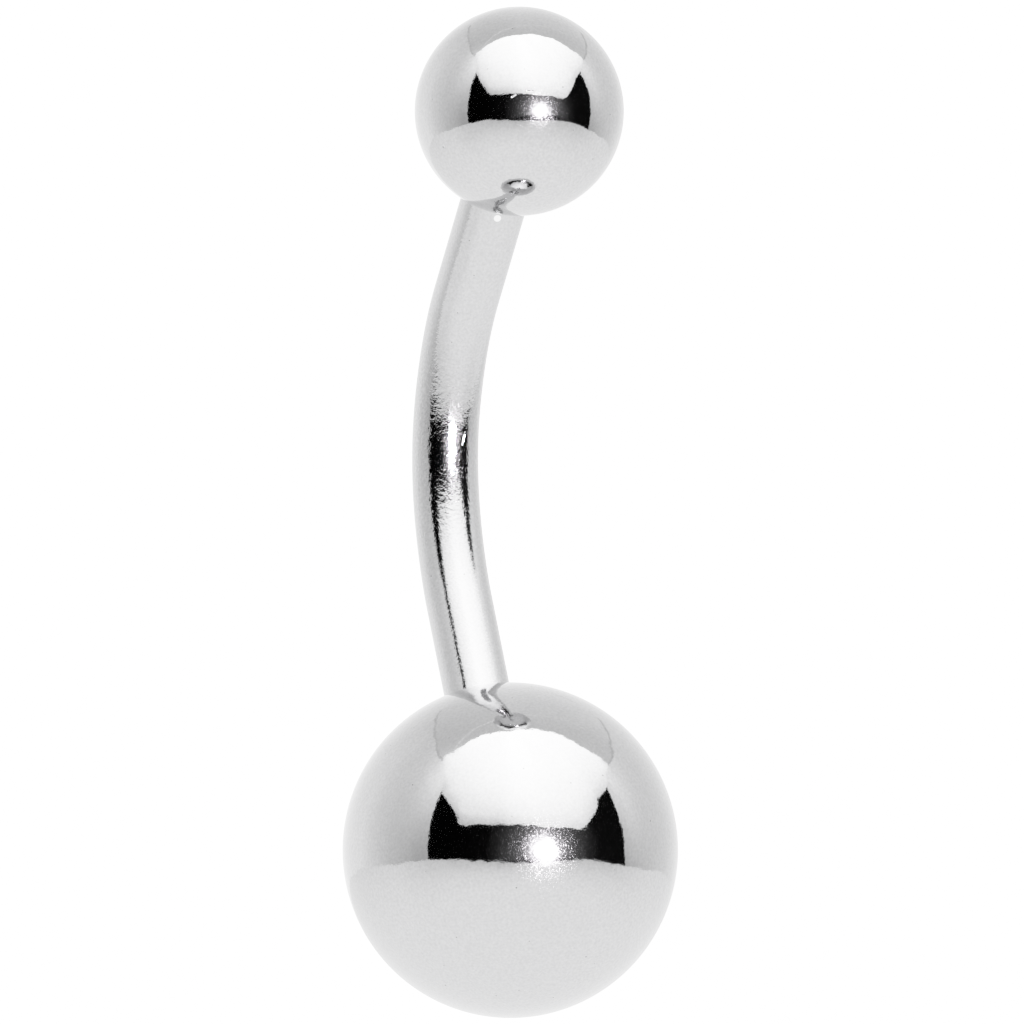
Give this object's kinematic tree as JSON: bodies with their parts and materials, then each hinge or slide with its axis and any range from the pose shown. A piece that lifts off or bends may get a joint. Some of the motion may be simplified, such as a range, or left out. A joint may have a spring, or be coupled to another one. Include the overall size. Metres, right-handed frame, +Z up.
{
  "type": "navel ring",
  "caption": "Curved polished steel barbell for a navel piercing, with a small screw-on ball at the top end and a large screw-on ball at the lower end.",
  "frame": {"origin": "on the surface that the ring lies on, under the middle of its bounding box", "axes": "+Z up from the surface, +X along the ring from the large lower ball to the small top ball, and the bar bows towards +Y and down until it touches the surface"},
  "size_m": [0.024, 0.008, 0.008],
  "materials": {
    "bar_steel": "mirror polished surgical steel with faint lengthwise polishing marks",
    "ball_steel": "mirror polished surgical steel with fine hairline scratches"
  },
  "bodies": {
    "bar": {"bar": "bar_steel"},
    "top_ball": {"top_ball": "ball_steel"},
    "lower_ball": {"lower_ball": "ball_steel"}
  },
  "joints": [
    {"name": "top_ball_unscrew", "type": "slide", "parent": "bar", "child": "top_ball", "axis": [0.8829, -0.3943, 0.2549], "range_m": [0, 0.0035]},
    {"name": "lower_ball_unscrew", "type": "slide", "parent": "bar", "child": "lower_ball", "axis": [-0.8708, -0.3376, 0.3573], "range_m": [0, 0.0035]}
  ]
}
